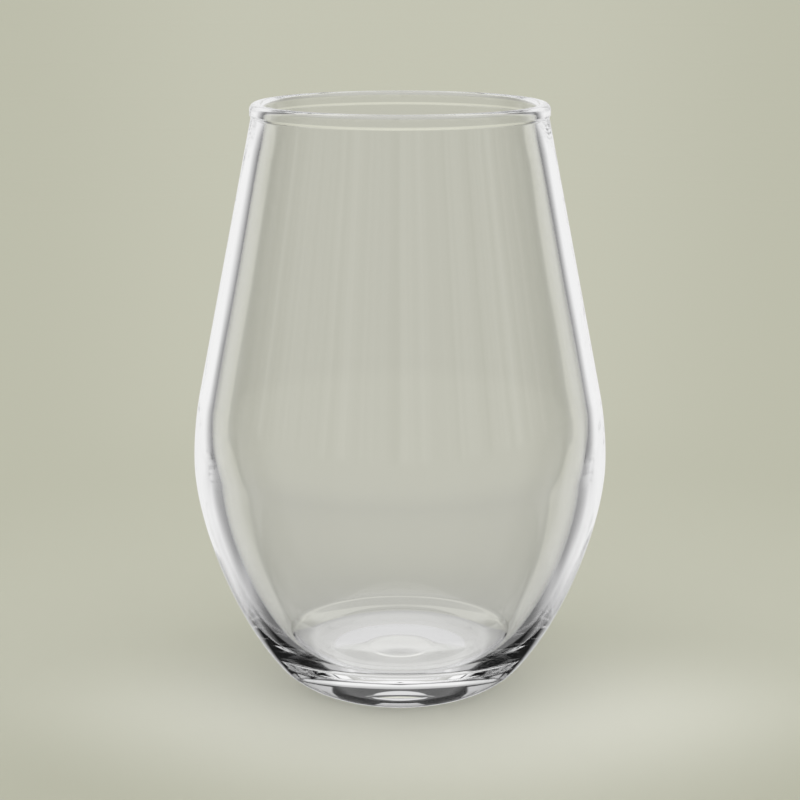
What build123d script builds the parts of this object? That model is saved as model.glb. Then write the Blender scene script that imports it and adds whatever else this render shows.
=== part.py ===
from build123d import *
import os
from math import acos, atan2, cos, degrees, hypot, radians, sin, sqrt

# Stemless wine glass, in millimetres. It stands on the plane z = 0 and its axis is Z. The real glass
# is one unbroken piece with a wall that thickens downwards and a heavy base. It is made here as its
# four zones, which meet face to face on level planes: the rim bead, the tapered upper wall, the
# rounded lower wall and the base. A section is drawn as points (distance from the axis, height) and
# turned about the axis.

# Driving dimensions of the rim bead, a band with a half-round top and small rounded lower edges
HEIGHT = 126.0              # from the table to the top of the rim
RIM_DIAMETER = 62.6         # outside of the bead
BEAD_THICKNESS = 2.8
BEAD_DEPTH = 2.4            # from the top of the rim to the middle of the rounded lower edges
BEAD_EDGE_RADIUS = 0.5      # of the lower edges and of the small hollows under them
BEAD_OVERHANG = 0.4         # of the bead over the outside of the wall under it
BEAD_INNER_OVERHANG = 0.2   # of the bead over the inside of the wall under it

# Driving dimensions of the outside
BELLY_DIAMETER = 88.0       # at the widest place
BELLY_HEIGHT = 50.2         # of the widest place above the table
SHOULDER_RADIUS = 76.0      # of the round between the belly and the straight taper
BELLY_PULL = 12.6           # length below the belly over which the wall leaves the upright
SEAM_PULL = 14.9            # length above the mould seam over which it takes its slope there
SEAM_SLOPE = 44.0           # degrees from the table, of the heel at the mould seam
SEAM_BEND = 4.0             # degrees by which the wall is steeper just above the mould seam
HEEL_RADIUS = 19.8          # of the heel, between the mould seam and the foot
HEEL_SLOPE = 20.0           # degrees from the table, of the heel at the foot
FOOT_EDGE_RADIUS = 3.0      # of the round between the heel and the flat ring
FOOT_DIAMETER = 36.0        # outside of the flat ring that the glass stands on

# Driving dimensions of the inside
LIP_RADIUS = 40.0           # of the slight round between the bead and the taper inside
INNER_SHOULDER_RADIUS = 48.0
BELLY_WALL = 3.7            # how much smaller the inside is at its own widest place
BELLY_RISE = 3.9            # how much higher that place is than the belly outside
INNER_BELLY_PULL = 14.9     # length below it over which the inside leaves the upright
BOWL_PULL = 9.9             # length above the bowl's lower edge over which it takes its slope there
BOWL_SLOPE = 44.0           # degrees from the table, of the bowl at its lower edge
BOWL_EDGE_DIAMETER = 49.2   # of the lower edge of the bowl
BOWL_EDGE_RISE = 1.45       # of that edge over the floor, to which a shallow cone leads
FLOOR_DIAMETER = 37.6       # of the level floor inside
FLOOR_THICKNESS = 9.8       # from the table to that floor

# Driving dimensions of the hollow under the base
PUNT_DIAMETER = 30.0
PUNT_DEPTH = 1.8
PUNT_MIDDLE_DIAMETER = 14.6  # of the level disc in the middle of the hollow

# Heights of the zones
BEAD_ZONE = 4.0             # from the top of the rim down
BASE_ZONE = 14.0            # from the table up
PAST = 5.0                  # how far the cuts of the outermost zones reach past the glass

rim_radius = RIM_DIAMETER / 2
mouth_radius = rim_radius - BEAD_THICKNESS
bead_radius = BEAD_THICKNESS / 2
bead_centre = (rim_radius - bead_radius, HEIGHT - bead_radius)
bead_bottom = HEIGHT - BEAD_DEPTH
belly_radius = BELLY_DIAMETER / 2


def point(radius, height):
    """A point of the section, on the plane y = 0."""
    return (radius, 0, height)


def on_circle(centre, radius, angle):
    """A point on a circle of the section, at an angle in degrees up from the outward direction."""
    return point(centre[0] + radius * cos(radians(angle)), centre[1] + radius * sin(radians(angle)))


def round_edge(centre, radius, start, end):
    """An arc of the section between two angles."""
    middle = (start + end) / 2
    return ThreePointArc(*(on_circle(centre, radius, a) for a in (start, middle, end)))


def taper_angle(shoulder_centre, shoulder_radius, top, top_radius):
    """How far the taper leans from the upright, in degrees. It touches the shoulder's circle on the
    outer side and the circle at the top on the inner side."""
    across = top[0] - shoulder_centre[0]
    up = top[1] - shoulder_centre[1]
    lean = acos((shoulder_radius + top_radius) / hypot(across, up))
    return degrees(atan2(up, across) - lean)


def neck(edge_centre, wall_radius, lean):
    """Centre of the small hollow under the bead outside, which touches the bead's lower edge and the
    taper, and the angle at which it meets that edge. wall_radius is that of the taper beside it."""
    out = (wall_radius - edge_centre[0]) * cos(radians(lean)) + BEAD_EDGE_RADIUS
    down = sqrt((2 * BEAD_EDGE_RADIUS) ** 2 - out**2)
    across = out * cos(radians(lean)) + down * sin(radians(lean))
    up = out * sin(radians(lean)) - down * cos(radians(lean))
    return (edge_centre[0] + across, edge_centre[1] + up), degrees(atan2(up, across))


def bead_outside():
    """Edges of the bead, over its half-round top and down its outer side."""
    side_top = point(rim_radius, bead_centre[1])
    return [round_edge(bead_centre, bead_radius, 180, 0), Line(side_top, point(rim_radius, bead_bottom))]


def outside():
    """Edges of the outside, from the bead's lower edge down to the flat ring."""
    shoulder = (belly_radius - SHOULDER_RADIUS, BELLY_HEIGHT)
    wall_top = (rim_radius - BEAD_OVERHANG, bead_bottom)
    lean = taper_angle(shoulder, SHOULDER_RADIUS, wall_top, 0)
    edge_centre = (rim_radius - BEAD_EDGE_RADIUS, bead_bottom)
    neck_centre, meeting = neck(edge_centre, wall_top[0], lean)
    foot_centre = (FOOT_DIAMETER / 2, FOOT_EDGE_RADIUS)
    foot_end = on_circle(foot_centre, FOOT_EDGE_RADIUS, HEEL_SLOPE - 90)
    heel_centre = (
        foot_end[0] - HEEL_RADIUS * sin(radians(HEEL_SLOPE)),
        foot_end[2] + HEEL_RADIUS * cos(radians(HEEL_SLOPE)),
    )
    seam = on_circle(heel_centre, HEEL_RADIUS, SEAM_SLOPE - 90)
    above_seam = on_circle((seam[0], seam[2]), SEAM_PULL, SEAM_SLOPE + SEAM_BEND)
    belly = point(belly_radius, BELLY_HEIGHT)
    under_belly = point(belly_radius, BELLY_HEIGHT - BELLY_PULL)
    return [
        round_edge(edge_centre, BEAD_EDGE_RADIUS, 0, meeting),
        round_edge(neck_centre, BEAD_EDGE_RADIUS, meeting + 180, lean + 180),
        Line(
            on_circle(neck_centre, BEAD_EDGE_RADIUS, lean + 180),
            on_circle(shoulder, SHOULDER_RADIUS, lean),
        ),
        round_edge(shoulder, SHOULDER_RADIUS, lean, 0),
        Bezier(belly, under_belly, above_seam, seam),
        round_edge(heel_centre, HEEL_RADIUS, SEAM_SLOPE - 90, HEEL_SLOPE - 90),
        round_edge(foot_centre, FOOT_EDGE_RADIUS, HEEL_SLOPE - 90, -90),
    ]


def bead_inside():
    """Edges of the bead's inner side and the small step from it out to the wall, from the top down."""
    turn = degrees(acos(1 - BEAD_INNER_OVERHANG / (2 * BEAD_EDGE_RADIUS)))
    edge_centre = (mouth_radius + BEAD_EDGE_RADIUS, bead_bottom)
    step = 2 * BEAD_EDGE_RADIUS * sin(radians(turn))
    hollow_centre = (mouth_radius + BEAD_INNER_OVERHANG - BEAD_EDGE_RADIUS, bead_bottom - step)
    return [
        Line(point(mouth_radius, bead_centre[1]), point(mouth_radius, bead_bottom)),
        round_edge(edge_centre, BEAD_EDGE_RADIUS, 180, 180 + turn),
        round_edge(hollow_centre, BEAD_EDGE_RADIUS, turn, 0),
    ], hollow_centre[1]


def inside():
    """Edges of the inside, from the bead's inner side down to the middle of the floor."""
    edges, lip_height = bead_inside()
    widest = belly_radius - BELLY_WALL
    widest_height = BELLY_HEIGHT + BELLY_RISE
    shoulder = (widest - INNER_SHOULDER_RADIUS, widest_height)
    lip = (mouth_radius + BEAD_INNER_OVERHANG + LIP_RADIUS, lip_height)
    lean = taper_angle(shoulder, INNER_SHOULDER_RADIUS, lip, LIP_RADIUS)
    bowl_edge = (BOWL_EDGE_DIAMETER / 2, FLOOR_THICKNESS + BOWL_EDGE_RISE)
    floor_edge = point(FLOOR_DIAMETER / 2, FLOOR_THICKNESS)
    return [
        *edges,
        round_edge(lip, LIP_RADIUS, 180, lean + 180),
        Line(
            on_circle(lip, LIP_RADIUS, lean + 180),
            on_circle(shoulder, INNER_SHOULDER_RADIUS, lean),
        ),
        round_edge(shoulder, INNER_SHOULDER_RADIUS, lean, 0),
        Bezier(
            point(widest, widest_height),
            point(widest, widest_height - INNER_BELLY_PULL),
            on_circle(bowl_edge, BOWL_PULL, BOWL_SLOPE),
            point(*bowl_edge),
        ),
        Line(point(*bowl_edge), floor_edge),
        Line(floor_edge, point(0, FLOOR_THICKNESS)),
    ]


def underside():
    """Edges of the flat ring and of the shallow hollow within it, from the outside inwards."""
    punt_edge = PUNT_DIAMETER / 2
    disc_edge = PUNT_MIDDLE_DIAMETER / 2
    sunk = (PUNT_DEPTH**2 + disc_edge**2 - punt_edge**2) / (2 * PUNT_DEPTH)
    start = degrees(atan2(-sunk, punt_edge))
    end = degrees(atan2(PUNT_DEPTH - sunk, disc_edge))
    return [
        Line(point(FOOT_DIAMETER / 2, 0), point(punt_edge, 0)),
        round_edge((0, sunk), hypot(punt_edge, sunk), start, end),
        Line(point(disc_edge, PUNT_DEPTH), point(0, PUNT_DEPTH)),
    ]


def whole_glass():
    """The glass before it is divided into zones."""
    axis_line = Line(point(0, PUNT_DEPTH), point(0, FLOOR_THICKNESS))
    section = make_face(Wire([*bead_outside(), *outside(), *underside(), axis_line, *inside()]))
    return revolve(section, Axis.Z, 360)


def zone(glass, bottom, top):
    """The part of the glass between two heights."""
    slab = Pos(0, 0, (bottom + top) / 2) * Cylinder(BELLY_DIAMETER, top - bottom)
    return glass & slab


def rim_bead(glass):
    """The fire-polished round bead that the lips meet, with its neck."""
    return zone(glass, HEIGHT - BEAD_ZONE, HEIGHT + PAST)


def upper_wall(glass):
    """The wall that narrows in a straight taper from the belly to the rim."""
    return zone(glass, BELLY_HEIGHT, HEIGHT - BEAD_ZONE)


def lower_wall(glass):
    """The rounded bowl under the belly, which thickens downwards."""
    return zone(glass, BASE_ZONE, BELLY_HEIGHT)


def base(glass):
    """The heavy base: the floor inside, the heel, the flat ring and the hollow under it."""
    return zone(glass, -PAST, BASE_ZONE)


os.makedirs("parts", exist_ok=True)
glass = whole_glass()
for make in (rim_bead, upper_wall, lower_wall, base):
    export_step(make(glass), f"parts/{make.__name__}.step")
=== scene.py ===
from math import acos, atan2, cos, degrees, hypot, radians, sin, sqrt, tau

import bpy
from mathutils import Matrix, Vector

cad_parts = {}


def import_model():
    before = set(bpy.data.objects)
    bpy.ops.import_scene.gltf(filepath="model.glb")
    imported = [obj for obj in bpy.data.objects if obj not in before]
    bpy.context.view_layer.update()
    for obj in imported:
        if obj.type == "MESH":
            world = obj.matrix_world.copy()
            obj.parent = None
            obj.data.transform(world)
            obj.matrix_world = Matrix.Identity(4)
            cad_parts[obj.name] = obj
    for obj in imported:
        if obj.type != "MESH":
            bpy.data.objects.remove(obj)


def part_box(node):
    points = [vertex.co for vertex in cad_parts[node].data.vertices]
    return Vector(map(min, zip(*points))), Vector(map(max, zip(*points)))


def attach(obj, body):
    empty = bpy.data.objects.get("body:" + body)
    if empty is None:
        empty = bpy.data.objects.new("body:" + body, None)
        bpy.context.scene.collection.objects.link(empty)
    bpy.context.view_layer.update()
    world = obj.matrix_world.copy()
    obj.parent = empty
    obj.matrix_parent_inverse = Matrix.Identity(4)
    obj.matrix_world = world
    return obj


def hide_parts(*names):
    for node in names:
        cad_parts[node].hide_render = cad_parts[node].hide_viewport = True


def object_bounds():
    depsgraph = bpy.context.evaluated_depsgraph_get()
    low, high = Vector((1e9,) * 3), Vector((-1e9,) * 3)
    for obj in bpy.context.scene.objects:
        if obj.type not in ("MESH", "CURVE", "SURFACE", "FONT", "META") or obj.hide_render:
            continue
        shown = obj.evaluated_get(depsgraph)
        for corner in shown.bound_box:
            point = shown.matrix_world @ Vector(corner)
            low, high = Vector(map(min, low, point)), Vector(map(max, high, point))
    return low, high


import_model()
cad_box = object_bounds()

# The glass is drawn as one closed, finely turned skin, because its zones are one unbroken piece of
# clear glass and a face between them would show. Lengths are metres and angles are degrees.
MM = 0.001

# Sizes read from the frame
height = cad_box[1].z
belly_radius = cad_box[1].x
rim_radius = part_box("rim_bead")[1].x
belly_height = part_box("lower_wall")[1].z

# Sizes of the section, as the CAD part has them
BEAD_THICKNESS = 2.8 * MM
BEAD_DEPTH = 2.4 * MM
BEAD_EDGE_RADIUS = 0.5 * MM
BEAD_OVERHANG = 0.4 * MM
BEAD_INNER_OVERHANG = 0.2 * MM
SHOULDER_RADIUS = 76.0 * MM
BELLY_PULL = 12.6 * MM
SEAM_PULL = 14.9 * MM
SEAM_SLOPE = 44.0
SEAM_BEND = 4.0
HEEL_RADIUS = 19.8 * MM
HEEL_SLOPE = 20.0
FOOT_EDGE_RADIUS = 3.0 * MM
FOOT_RADIUS = 18.0 * MM
LIP_RADIUS = 40.0 * MM
INNER_SHOULDER_RADIUS = 48.0 * MM
BELLY_WALL = 3.7 * MM
BELLY_RISE = 3.9 * MM
INNER_BELLY_PULL = 14.9 * MM
BOWL_PULL = 9.9 * MM
BOWL_SLOPE = 44.0
BOWL_EDGE_RADIUS = 24.6 * MM
BOWL_EDGE_RISE = 1.45 * MM
FLOOR_RADIUS = 18.8 * MM
FLOOR_THICKNESS = 9.8 * MM
PUNT_RADIUS = 15.0 * MM
PUNT_DEPTH = 1.8 * MM
PUNT_MIDDLE_RADIUS = 7.3 * MM

# Fineness of the skin: turns about the axis, steps along each run of the section, and how near two
# points of the section lie to count as one
TURNS = 224
FLOOR_STEPS = 10
FLOOR_EDGE_STEPS = 4
BOWL_STEPS = 72
INNER_SHOULDER_STEPS = 18
INNER_TAPER_STEPS = 10
LIP_STEPS = 10
BEAD_EDGE_STEPS = 5
BEAD_SIDE_STEPS = 3
BEAD_STEPS = 28
TAPER_STEPS = 12
SHOULDER_STEPS = 24
WALL_STEPS = 72
HEEL_STEPS = 24
FOOT_EDGE_STEPS = 8
RING_STEPS = 4
DOME_STEPS = 16
DISC_STEPS = 5
SAME_POINT = 1e-7

# Clear glass, and the waves in it: how many to a metre along each axis, their depth, and the heights
# between which they fade in
GLASS_IOR = 1.52
WAVES = (110.0, 110.0, 14.0)
WAVE_DETAIL = 1.0
WAVE_DEPTH = 0.05 * MM
WAVES_FADE_IN = (12 * MM, 40 * MM)

# The photo's camera, fitted to the outline
CAMERA_PLACE = Vector((0.0, -0.46406, 0.16471))
CAMERA_AIM = Vector((0.0, 0.0, 0.06261))
CAMERA_LENS = 100.0
CAMERA_SENSOR = 36.0

# The paper sweep: its sizes, its colour, the paler colour of the painted light near the glass, and how much
# of that painted light shows at the foot, around it, and behind it in a wedge that starts at the distance
# of the view
SWEEP_FLAT = 0.8
SWEEP_BEND = 0.4
SWEEP_TOP = 2.6
SWEEP_FLAT_STEPS = 24
SWEEP_BEND_STEPS = 16
SWEEP_TURNS = 96
SAGE = (0.510, 0.512, 0.412, 1.0)
PAINTED_LIGHT_SAGE = (0.80, 0.80, 0.70, 1.0)
PAINTED_LIGHT_ASIDE = 8 * MM
PAINTED_LIGHT_AT_FOOT = 0.82
PAINTED_LIGHT_AROUND = 0.2
PAINTED_LIGHT_BEHIND = 0.15
VIEW_DISTANCE = 0.5

# The table spot under the foot, a disc that glows with painted light: its size, and its light with a
# painted glow, a painted shade and a painted crescent of light on it, whose places are millimetres behind
# the axis
SPOT_RADIUS = 25.5 * MM
SPOT_SIDES = 64
SPOT_HEIGHT = -0.2 * MM
SPOT_TINT = (1.0, 1.0, 0.96, 1.0)
SPOT_LIGHT = 0.57
SPOT_EDGE_LOSS = 0.2
GLOW_LIGHT = 0.13
GLOW_PLACE = 4.3
SHADE_LIGHT = -0.25
SHADE_PLACE = 0.9
SHADE_WIDTH = 6.0
SHADE_DEPTH = 2.6
CRESCENT_LIGHT = 0.27
CRESCENT_PLACE = 2.4

# The studio: the tints of what is seen straight through the glass, its lights, and how many mirrorings
# and passes through the surface set rays apart
WHITE = (1.0, 1.0, 1.0, 1.0)
THROUGH_TINT = (1.0, 1.0, 0.845, 1.0)
BELOW_TINT = (1.0, 1.0, 0.90, 1.0)
THROUGH_LIGHT = 0.53
OUTSIDE_LEAST = 0.02
OUTSIDE_MOST = 1.4
INSIDE_MOST = 1.0
ONCE_LEAST = 0.012
OFTEN_LEAST = 0.008
FRONT_LIGHT = 0.45
STREAK_WIDTH = 9.0
STREAK_DETAIL = 2.0
STREAK_STRENGTH = 2.2
OVAL_HEIGHT = 13.0
OVAL_HALF_WIDTH = 8.7
OVAL_HALF_HEIGHT = 4.6
FLOOR_LIGHT = 0.66
TRAPPED_LIGHT = 0.75
GAP_LIGHT = 0.6
LED_LIGHT = 0.86
LED_FROM = 3.0
LED_TO = 24.0
MANY_MIRRORS = 15
LED_MIRRORS = 25
LOST_MIRRORS = 38
FLOOR_PASSES = 4
BOUNCES = 400


def arc(centre, radius, start, end, steps):
    """Points on a circle of the section between two angles up from the outward direction."""
    turns = [radians(start + (end - start) * k / steps) for k in range(steps + 1)]
    return [(centre[0] + radius * cos(a), centre[1] + radius * sin(a)) for a in turns]


def curve(p0, p1, p2, p3, steps):
    """Points on a cubic curve of the section."""
    points = []
    for k in range(steps + 1):
        t = k / steps
        w = ((1 - t) ** 3, 3 * (1 - t) ** 2 * t, 3 * (1 - t) * t * t, t**3)
        points.append(tuple(sum(f * p[i] for f, p in zip(w, (p0, p1, p2, p3))) for i in (0, 1)))
    return points


def line(start, end, steps):
    """Points on a straight run of the section."""
    return [tuple(start[i] + (end[i] - start[i]) * k / steps for i in (0, 1)) for k in range(steps + 1)]


mouth_radius = rim_radius - BEAD_THICKNESS
bead_radius = BEAD_THICKNESS / 2
bead_centre = (rim_radius - bead_radius, height - bead_radius)
bead_bottom = height - BEAD_DEPTH


def taper_angle(shoulder_centre, shoulder_radius, top, top_radius):
    """How far the taper leans from the upright."""
    across, up = top[0] - shoulder_centre[0], top[1] - shoulder_centre[1]
    return degrees(atan2(up, across) - acos((shoulder_radius + top_radius) / hypot(across, up)))


def on_circle(centre, radius, angle):
    return (centre[0] + radius * cos(radians(angle)), centre[1] + radius * sin(radians(angle)))


def neck(edge_centre, wall_radius, lean):
    """Centre of the small hollow under the bead outside, and the angle where it meets the bead's edge."""
    out = (wall_radius - edge_centre[0]) * cos(radians(lean)) + BEAD_EDGE_RADIUS
    down = sqrt((2 * BEAD_EDGE_RADIUS) ** 2 - out**2)
    across = out * cos(radians(lean)) + down * sin(radians(lean))
    up = out * sin(radians(lean)) - down * cos(radians(lean))
    return (edge_centre[0] + across, edge_centre[1] + up), degrees(atan2(up, across))


def inside_points():
    """The inside, from the middle of the floor up to the bead's inner side."""
    turn = degrees(acos(1 - BEAD_INNER_OVERHANG / (2 * BEAD_EDGE_RADIUS)))
    step = 2 * BEAD_EDGE_RADIUS * sin(radians(turn))
    edge_centre = (mouth_radius + BEAD_EDGE_RADIUS, bead_bottom)
    hollow_centre = (mouth_radius + BEAD_INNER_OVERHANG - BEAD_EDGE_RADIUS, bead_bottom - step)
    widest, widest_height = belly_radius - BELLY_WALL, belly_height + BELLY_RISE
    centre = (widest - INNER_SHOULDER_RADIUS, widest_height)
    lip_centre = (mouth_radius + BEAD_INNER_OVERHANG + LIP_RADIUS, hollow_centre[1])
    lean = taper_angle(centre, INNER_SHOULDER_RADIUS, lip_centre, LIP_RADIUS)

    floor_edge = (FLOOR_RADIUS, FLOOR_THICKNESS)
    bowl_edge = (BOWL_EDGE_RADIUS, FLOOR_THICKNESS + BOWL_EDGE_RISE)
    floor = line((0, FLOOR_THICKNESS), floor_edge, FLOOR_STEPS)
    floor += line(floor_edge, bowl_edge, FLOOR_EDGE_STEPS)
    above_edge = on_circle(bowl_edge, BOWL_PULL, BOWL_SLOPE)
    below_widest = (widest, widest_height - INNER_BELLY_PULL)
    bowl = curve(bowl_edge, above_edge, below_widest, (widest, widest_height), BOWL_STEPS)
    shoulder = arc(centre, INNER_SHOULDER_RADIUS, 0, lean, INNER_SHOULDER_STEPS)
    lip = arc(lip_centre, LIP_RADIUS, lean + 180, 180, LIP_STEPS)
    taper = line(shoulder[-1], lip[0], INNER_TAPER_STEPS)
    edge = arc(hollow_centre, BEAD_EDGE_RADIUS, 0, turn, BEAD_EDGE_STEPS)
    edge += arc(edge_centre, BEAD_EDGE_RADIUS, 180 + turn, 180, BEAD_EDGE_STEPS)
    return floor + bowl + shoulder + taper + lip + edge


def outside_points():
    """The bead, the outside down to the flat ring, and the underside in to the axis."""
    centre = (belly_radius - SHOULDER_RADIUS, belly_height)
    wall_top = (rim_radius - BEAD_OVERHANG, bead_bottom)
    lean = taper_angle(centre, SHOULDER_RADIUS, wall_top, 0)
    edge_centre = (rim_radius - BEAD_EDGE_RADIUS, bead_bottom)
    neck_centre, meeting = neck(edge_centre, wall_top[0], lean)

    bead = line((mouth_radius, bead_bottom), (mouth_radius, bead_centre[1]), BEAD_SIDE_STEPS)
    bead += arc(bead_centre, bead_radius, 180, 0, BEAD_STEPS)
    bead += line((rim_radius, bead_centre[1]), (rim_radius, bead_bottom), BEAD_SIDE_STEPS)
    edge = arc(edge_centre, BEAD_EDGE_RADIUS, 0, meeting, BEAD_EDGE_STEPS)
    hollow = arc(neck_centre, BEAD_EDGE_RADIUS, meeting + 180, lean + 180, BEAD_EDGE_STEPS)
    shoulder = arc(centre, SHOULDER_RADIUS, lean, 0, SHOULDER_STEPS)
    taper = line(hollow[-1], shoulder[0], TAPER_STEPS)

    foot = arc((FOOT_RADIUS, FOOT_EDGE_RADIUS), FOOT_EDGE_RADIUS, HEEL_SLOPE - 90, -90, FOOT_EDGE_STEPS)
    slope = radians(HEEL_SLOPE)
    heel_centre = (foot[0][0] - HEEL_RADIUS * sin(slope), foot[0][1] + HEEL_RADIUS * cos(slope))
    heel = arc(heel_centre, HEEL_RADIUS, SEAM_SLOPE - 90, HEEL_SLOPE - 90, HEEL_STEPS)
    seam = heel[0]
    above_seam = on_circle(seam, SEAM_PULL, SEAM_SLOPE + SEAM_BEND)
    below_belly = (belly_radius, belly_height - BELLY_PULL)
    wall = curve((belly_radius, belly_height), below_belly, above_seam, seam, WALL_STEPS)

    ring = line((FOOT_RADIUS, 0), (PUNT_RADIUS, 0), RING_STEPS)
    sunk = (PUNT_DEPTH**2 + PUNT_MIDDLE_RADIUS**2 - PUNT_RADIUS**2) / (2 * PUNT_DEPTH)
    start = degrees(atan2(-sunk, PUNT_RADIUS))
    end = degrees(atan2(PUNT_DEPTH - sunk, PUNT_MIDDLE_RADIUS))
    dome = arc((0, sunk), hypot(PUNT_RADIUS, sunk), start, end, DOME_STEPS)
    disc = line((PUNT_MIDDLE_RADIUS, PUNT_DEPTH), (0, PUNT_DEPTH), DISC_STEPS)
    return bead + edge + hollow + taper + shoulder + wall + heel + foot + ring + dome + disc


def section():
    """The whole section, from the middle of the floor round to the middle of the underside."""
    points = []
    for p in inside_points() + outside_points():
        if not points or hypot(p[0] - points[-1][0], p[1] - points[-1][1]) > SAME_POINT:
            points.append(p)
    return points


def circle(radius, z, sides):
    """Points on a level circle round the axis."""
    return [(radius * cos(tau * k / sides), radius * sin(tau * k / sides), z) for k in range(sides)]


def placed(name, verts, faces):
    """A mesh object in the scene."""
    mesh = bpy.data.meshes.new(name)
    mesh.from_pydata(verts, [], faces)
    obj = bpy.data.objects.new(name, mesh)
    bpy.context.scene.collection.objects.link(obj)
    return obj


def turned(name, points):
    """A closed, smooth mesh turned about Z from a section that starts and ends on the axis."""
    verts = [(0, 0, points[0][1])]
    for r, z in points[1:-1]:
        verts += circle(r, z, TURNS)
    verts.append((0, 0, points[-1][1]))
    rings = len(points) - 2
    last = len(verts) - 1
    faces = []
    for k in range(TURNS):
        after = (k + 1) % TURNS
        faces.append((0, 1 + k, 1 + after))
        for j in range(rings - 1):
            a, b = 1 + j * TURNS, 1 + (j + 1) * TURNS
            faces.append((a + k, b + k, b + after, a + after))
        top = 1 + (rings - 1) * TURNS
        faces.append((last, top + after, top + k))
    obj = placed(name, verts, faces)
    obj.data.shade_smooth()
    return obj


class Nodes:
    """Short ways to make the nodes of a material or of the world."""

    def __init__(self, tree):
        self.tree = tree

    def add(self, kind, **settings):
        node = self.tree.nodes.new(kind)
        for name, value in settings.items():
            setattr(node, name, value)
        return node

    def put(self, value, socket):
        if isinstance(value, bpy.types.NodeSocket):
            self.tree.links.new(value, socket)
        else:
            socket.default_value = value

    def math(self, operation, *values):
        node = self.add("ShaderNodeMath", operation=operation)
        for k, value in enumerate(values):
            self.put(value, node.inputs[k])
        return node.outputs[0]

    def times(self, *values):
        result = values[0]
        for value in values[1:]:
            result = self.math("MULTIPLY", result, value)
        return result

    def plus(self, *values):
        result = values[0]
        for value in values[1:]:
            result = self.math("ADD", result, value)
        return result

    def length(self, across, up):
        """The distance that two steps at right angles make."""
        return self.math("SQRT", self.plus(self.times(across, across), self.times(up, up)))

    def rise(self, value, low, high):
        """0 below low, 1 above high, smooth between."""
        node = self.add("ShaderNodeMapRange", interpolation_type="SMOOTHSTEP")
        self.put(value, node.inputs["Value"])
        node.inputs["From Min"].default_value = low
        node.inputs["From Max"].default_value = high
        return node.outputs[0]

    def fall(self, value, low, high):
        """1 below low, 0 above high, smooth between."""
        return self.math("SUBTRACT", 1.0, self.rise(value, low, high))

    def span(self, value, start, end):
        """1 from start to end, each given by the two values of its soft edge, or None where it is open."""
        if start is None:
            return self.fall(value, *end)
        if end is None:
            return self.rise(value, *start)
        return self.times(self.rise(value, *start), self.fall(value, *end))

    def mix(self, factor, one, other):
        """The first colour where the factor is 0, and the other where it is 1."""
        node = self.add("ShaderNodeMix", data_type="RGBA")
        self.put(factor, node.inputs["Factor"])
        self.put(one, node.inputs[6])
        self.put(other, node.inputs[7])
        return node.outputs[2]

    def parts(self, vector):
        """The three numbers of a vector."""
        node = self.add("ShaderNodeSeparateXYZ")
        self.put(vector, node.inputs[0])
        return node.outputs


# Spans, by the values of their soft edges
def up_to(low, high):
    return None, (low, high)


def beyond(low, high):
    return (low, high), None


def between(low, full, still_full, high):
    return (low, full), (still_full, high)


def glass_material():
    """Clear soda-lime glass, with the faint upright waves that drawing the wall leaves in it."""
    mat = bpy.data.materials.new("clear_glass")
    mat.use_nodes = True
    n = Nodes(mat.node_tree)
    shader = mat.node_tree.nodes["Principled BSDF"]
    where = n.add("ShaderNodeTexCoord").outputs["Object"]
    place = n.add("ShaderNodeMapping")
    place.inputs["Scale"].default_value = WAVES
    n.put(where, place.inputs["Vector"])
    waves = n.add("ShaderNodeTexNoise")
    waves.inputs["Scale"].default_value = 1.0
    waves.inputs["Detail"].default_value = WAVE_DETAIL
    n.put(place.outputs[0], waves.inputs["Vector"])
    bump = n.add("ShaderNodeBump")
    bump.inputs["Distance"].default_value = WAVE_DEPTH
    up = n.parts(where)[2]
    n.put(n.times(waves.outputs[0], n.rise(up, *WAVES_FADE_IN)), bump.inputs["Height"])
    n.put(bump.outputs[0], shader.inputs["Normal"])
    shader.inputs["Base Color"].default_value = WHITE
    shader.inputs["Roughness"].default_value = 0.0
    shader.inputs["IOR"].default_value = GLASS_IOR
    shader.inputs["Transmission Weight"].default_value = 1.0
    return mat


def stage_material(name):
    """An empty material of the stage: its nodes, the place on it in metres, and its output's socket."""
    mat = bpy.data.materials.new(name)
    mat.use_nodes = True
    mat.node_tree.nodes.clear()
    n = Nodes(mat.node_tree)
    place = n.parts(n.add("ShaderNodeNewGeometry").outputs["Position"])
    return mat, n, place, n.add("ShaderNodeOutputMaterial").inputs["Surface"]


def paper_material():
    """Sage paper with painted light: paler round the foot of the glass, where the painted pool lifts the
    glass's shadow, and straight behind it.
    """
    mat, n, place, surface = stage_material("sage_paper_painted_light")
    x, y = place[0], place[1]
    far = n.length(n.math("SUBTRACT", x, PAINTED_LIGHT_ASIDE), y)
    spread = n.math("DIVIDE", n.math("ABSOLUTE", x), n.plus(y, VIEW_DISTANCE))
    # Painted light: a pale pool round the foot that lifts the glass's shadow, a wider pale ring round it,
    # and a pale wedge straight behind
    painted_light = n.plus(
        n.times(PAINTED_LIGHT_AT_FOOT, n.fall(far, 0.03, 0.10), n.fall(y, -0.035, 0.035)),
        n.times(PAINTED_LIGHT_BEHIND, n.fall(spread, 0.06, 0.18), n.rise(y, 0.05, 0.3)),
        n.times(PAINTED_LIGHT_AROUND, n.fall(far, 0.06, 0.22), n.rise(y, -0.07, -0.01)),
    )
    paper = n.add("ShaderNodeBsdfDiffuse")
    n.put(n.mix(painted_light, SAGE, PAINTED_LIGHT_SAGE), paper.inputs["Color"])
    n.put(paper.outputs[0], surface)
    return mat


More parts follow.
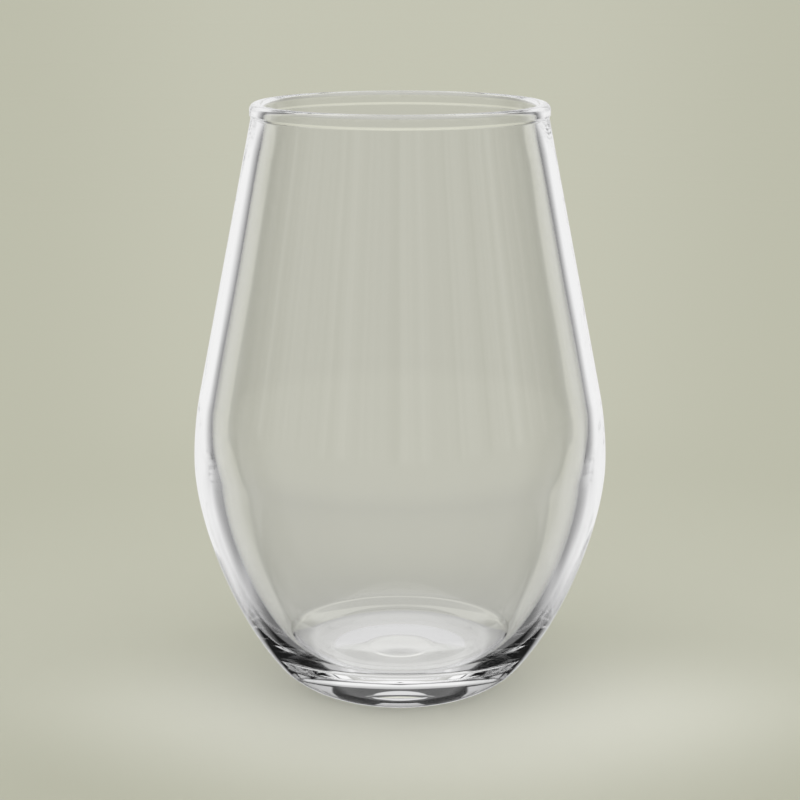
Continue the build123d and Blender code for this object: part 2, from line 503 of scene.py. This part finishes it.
def sweep():
    """A round seamless sweep: a level floor that curves up into a wall all round, and a ceiling. The
    glass doesn't see it: what shows in and through the glass is the studio of the world."""
    points = line((0, 0), (SWEEP_FLAT, 0), SWEEP_FLAT_STEPS)
    points += arc((SWEEP_FLAT, SWEEP_BEND), SWEEP_BEND, -90, 0, SWEEP_BEND_STEPS)[1:]
    points += [(SWEEP_FLAT + SWEEP_BEND, SWEEP_TOP), (0, SWEEP_TOP)]
    verts, faces = [], []
    for r, z in points:
        verts += circle(r, z, SWEEP_TURNS)
    for j in range(len(points) - 1):
        a, b = j * SWEEP_TURNS, (j + 1) * SWEEP_TURNS
        for k in range(SWEEP_TURNS):
            after = (k + 1) % SWEEP_TURNS
            faces.append((a + k, a + after, b + after, b + k))
    obj = placed("sweep", verts, faces)
    obj.data.materials.append(paper_material())
    obj.visible_shadow = False
    obj.visible_diffuse = False
    obj.visible_glossy = False
    obj.visible_transmission = False


def painted_table_light():
    """The painted light of the glowing table spot, in millimetres across and behind the axis: a wide
    painted glow, a small painted crescent of light, a painted shade inside that, and a darker edge."""
    mat, n, place, surface = stage_material("painted_table_light")
    x = n.math("ABSOLUTE", n.math("DIVIDE", place[0], MM))
    y = n.math("DIVIDE", place[1], MM)
    glow = n.length(x, n.math("SUBTRACT", y, GLOW_PLACE))
    bow = n.length(x, n.math("SUBTRACT", y, CRESCENT_PLACE))
    shade_up = n.math("DIVIDE", n.math("SUBTRACT", y, SHADE_PLACE), SHADE_DEPTH)
    shade = n.length(n.math("DIVIDE", x, SHADE_WIDTH), shade_up)
    # A painted crescent of light, and a painted shade inside it
    crescent = n.times(n.span(bow, *between(5.5, 6.1, 6.8, 7.6)), n.fall(y, -1.5, 0.5), n.fall(x, 4.0, 7.0))
    light = n.plus(
        SPOT_LIGHT,
        n.times(GLOW_LIGHT, n.fall(glow, 5.0, 13.0)),
        n.times(SHADE_LIGHT, n.fall(shade, 0.3, 1.1)),
        n.times(CRESCENT_LIGHT, crescent),
    )
    edge_loss = n.times(SPOT_EDGE_LOSS, n.rise(n.length(x, y), 22.0, 25.0))
    lit = n.add("ShaderNodeEmission")
    lit.inputs["Color"].default_value = SPOT_TINT
    n.put(n.times(light, n.math("SUBTRACT", 1.0, edge_loss)), lit.inputs["Strength"])
    n.put(lit.outputs[0], surface)
    return mat


def glowing_table_spot():
    """The table under the foot, drawn as a disc that glows with painted light, which shows only through the
    glass.
    """
    obj = placed("glowing_table_spot", circle(SPOT_RADIUS, SPOT_HEIGHT, SPOT_SIDES), [tuple(range(SPOT_SIDES))])
    obj.data.materials.append(painted_table_light())
    obj.visible_camera = False
    obj.visible_shadow = False
    obj.visible_diffuse = False
    obj.visible_glossy = False


def studio(n, az, el, front):
    """What the glass sees in each direction: straight through it, mirrored on its outside, mirrored
    once inside it, and mirrored more often. Azimuth is counted from straight behind the glass, and
    cards are given by brightness and degrees."""

    def card(light, across=None, up=None):
        """A card of some brightness, cut to its spans of azimuth and elevation."""
        spans = [n.span(value, *limits) for value, limits in ((az, across), (el, up)) if limits]
        return n.times(light, *spans)

    # Straight through: an even ground, darker low in the middle, with brighter strips aside and above
    strips = n.plus(card(0.13, across=beyond(14.2, 15.6)), card(0.14, across=beyond(16, 27)))
    through = n.plus(
        THROUGH_LIGHT,
        card(-0.06, across=up_to(5, 11), up=between(-54, -48, -22, -17)),
        card(0.02, up=between(-20, -16, -13, -11)),
        card(0.12, up=between(-43, -42, -39.5, -37.5)),
        card(0.14, up=beyond(1.5, 4)),
        card(strips, across=up_to(33, 42)),
    )

    # Mirrored outside: a bright wall behind, upright streaks in front, and light from below and above
    noise = n.add("ShaderNodeTexNoise", noise_dimensions="1D")
    n.put(n.math("DIVIDE", front, STREAK_WIDTH), noise.inputs["W"])
    noise.inputs["Scale"].default_value = 1.0
    noise.inputs["Detail"].default_value = STREAK_DETAIL
    streaks = card(n.plus(n.times(STREAK_STRENGTH, noise.outputs[0]), -1.0), up=beyond(-2, 2))
    outside = n.plus(
        OUTSIDE_LEAST,
        card(0.83, across=up_to(40, 56), up=between(-33, -27, 26, 34)),
        card(0.20, across=between(56, 66, 76, 90), up=between(-50, -30, 30, 40)),
        card(n.plus(FRONT_LIGHT, streaks), across=beyond(78, 92)),
    )
    outside = n.math("MINIMUM", n.math("MAXIMUM", outside, 0.0), OUTSIDE_MOST)
    outside = n.plus(outside, card(0.9, up=up_to(-66, -58)), card(1.3, up=beyond(40, 46)))

    # Cards for all rays mirrored inside: behind the glass, under it, and a lamp above
    depth = n.plus(0.65, card(0.35, up=beyond(-28, -17)))
    behind = n.plus(
        card(n.times(0.67, depth), across=up_to(28, 45), up=between(-33, -29.5, 2, 4)),
        card(0.26, across=between(46, 50, 55, 62), up=between(-24, -16, 2, 4)),
        card(0.19, across=up_to(60, 72), up=between(-37, -32, 2, 4)),
    )
    under = n.plus(
        card(1.0, across=up_to(10, 13), up=up_to(-32, -28)),
        card(0.95, up=up_to(-58, -54)),
    )
    lamp = card(0.8, up=beyond(55, 60))

    # Mirrored once inside: also an oval card, a thin slanting line above it, and cards aside and in front
    oval_up = n.math("DIVIDE", n.math("SUBTRACT", el, OVAL_HEIGHT), OVAL_HALF_HEIGHT)
    oval = n.length(n.math("DIVIDE", az, OVAL_HALF_WIDTH), oval_up)
    low_light = n.plus(0.20, card(0.12, up=beyond(-39, -35)), card(-0.18, up=beyond(-33, -29)))
    line_light = n.plus(0.45, card(0.45, up=beyond(19, 21)))
    line_top = n.fall(n.plus(el, n.times(-0.07, az)), 21.0, 21.6)
    once = n.plus(
        under,
        lamp,
        behind,
        card(0.4, across=beyond(70, 95)),
        card(low_light, across=between(27, 31, 44, 52), up=between(-52, -47, -22, -18)),
        n.times(0.68, n.fall(oval, 0.95, 1.03)),
        card(n.times(line_light, line_top), across=up_to(40, 46), up=beyond(18.4, 19.0)),
        card(0.62, across=between(22.5, 24, 40, 48), up=between(3, 6, 17.2, 17.7)),
        card(0.5, across=up_to(32, 36), up=between(24, 26, 46, 50)),
    )

    # Mirrored more often: also small cards for the white band and the pale streaks of the base
    slanting_edge = n.rise(n.plus(el, n.times(5.0, az)), -11.2, -10.5)
    aside_light = n.plus(0.45, card(0.15, across=up_to(27, 31)))
    often = n.plus(
        under,
        n.times(1.2, lamp),
        card(n.times(1.1, behind, slanting_edge), across=up_to(36, 44)),
        card(0.95, across=up_to(2, 4), up=between(-27, -24, -20, -19)),
        card(0.95, across=up_to(25, 31), up=between(3, 5, 11, 13)),
        card(0.60, across=up_to(21, 26), up=between(12, 14, 24, 26)),
        card(0.65, across=between(38, 40, 50, 53), up=between(2, 4, 8.5, 10)),
        card(aside_light, across=between(20, 25, 38, 43), up=between(18.5, 20.5, 29, 32)),
    )
    once = n.plus(ONCE_LEAST, n.math("MINIMUM", once, INSIDE_MOST))
    often = n.plus(OFTEN_LEAST, n.math("MINIMUM", often, INSIDE_MOST))
    return through, outside, once, often


def world():
    """Plain white light on the paper, and the studio for the glass alone."""
    sky = bpy.data.worlds.new("studio")
    sky.use_nodes = True
    n = Nodes(sky.node_tree)
    x, y, z = n.parts(n.add("ShaderNodeTexCoord").outputs["Generated"])
    az = n.math("DEGREES", n.math("ARCTAN2", n.math("ABSOLUTE", x), y))
    el = n.math("DEGREES", n.math("ARCSINE", z))
    front = n.math("DEGREES", n.math("ARCTAN2", x, n.math("MULTIPLY", y, -1.0)))
    path = n.add("ShaderNodeLightPath")
    mirrors = path.outputs["Glossy Depth"]
    passes = path.outputs["Transmission Depth"]

    def at_least(depth, count):
        return n.math("GREATER_THAN", depth, count - 0.5)

    def fewer_than(depth, count):
        return n.math("LESS_THAN", depth, count - 0.5)

    def pick(test, yes, no):
        return n.plus(n.times(test, yes), n.times(n.math("SUBTRACT", 1.0, test), no))

    through, outside, once, often = studio(n, az, el, front)

    # Rays that the wall leads along, mirrored over and over, end on one even light
    led = n.times(n.math("GREATER_THAN", el, LED_FROM), n.math("LESS_THAN", el, LED_TO))
    led = n.times(at_least(mirrors, LED_MIRRORS), led)
    led = n.math("MAXIMUM", led, at_least(mirrors, LOST_MIRRORS))
    led = n.times(led, fewer_than(passes, FLOOR_PASSES))

    # Rays mirrored many times see no dark between the cards behind the glass
    trapped = n.times(at_least(mirrors, MANY_MIRRORS), n.span(el, *between(-21, -19, 2, 4)))
    often = n.math("MAXIMUM", often, n.times(TRAPPED_LIGHT, trapped))

    # Rays that pass the surface often, as at the floor of the glass, see no gap over the oval card, and
    # mirrored twice or more they see an even light that is dark in front
    gap = n.times(n.fall(az, 8, 11), n.span(el, *between(15, 16.5, 19, 20.5)))
    gap = n.times(GAP_LIGHT, at_least(passes, FLOOR_PASSES), gap)
    once = n.math("MAXIMUM", once, gap)
    dark = n.times(fewer_than(mirrors, MANY_MIRRORS), n.rise(az, 80, 98), n.fall(el, 36, 44))
    floor = n.times(FLOOR_LIGHT, n.math("SUBTRACT", 1.0, dark))

    inside = pick(at_least(mirrors, 2), pick(at_least(passes, FLOOR_PASSES), floor, often), once)
    inside = pick(led, LED_LIGHT, inside)
    mirrored = pick(at_least(passes, 1), inside, outside)
    grey = pick(at_least(mirrors, 1), mirrored, through)
    in_glass = n.math("MAXIMUM", at_least(mirrors, 1), at_least(passes, 1))
    in_glass = n.times(in_glass, fewer_than(path.outputs["Diffuse Depth"], 1))

    tint = n.mix(at_least(mirrors, 1), n.mix(n.fall(el, -28, -14), THROUGH_TINT, BELOW_TINT), WHITE)
    back = sky.node_tree.nodes["Background"]
    n.put(n.mix(in_glass, WHITE, tint), back.inputs["Color"])
    n.put(pick(in_glass, grey, 1.0), back.inputs["Strength"])
    bpy.context.scene.world = sky


def camera():
    data = bpy.data.cameras.new("camera")
    data.lens = CAMERA_LENS
    data.sensor_width = CAMERA_SENSOR
    obj = bpy.data.objects.new("camera", data)
    obj.location = CAMERA_PLACE
    obj.rotation_mode = "QUATERNION"
    obj.rotation_quaternion = (CAMERA_AIM - CAMERA_PLACE).to_track_quat("-Z", "Y")
    bpy.context.scene.collection.objects.link(obj)
    bpy.context.scene.camera = obj


scene = bpy.context.scene
glass = turned("glass_body", section())
glass.data.materials.append(glass_material())
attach(glass, "root")
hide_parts("rim_bead", "upper_wall", "lower_wall", "base")
sweep()
glowing_table_spot()
world()
camera()
scene.view_settings.view_transform = "Standard"
scene.cycles.max_bounces = BOUNCES
scene.cycles.glossy_bounces = BOUNCES
scene.cycles.transmission_bounces = BOUNCES
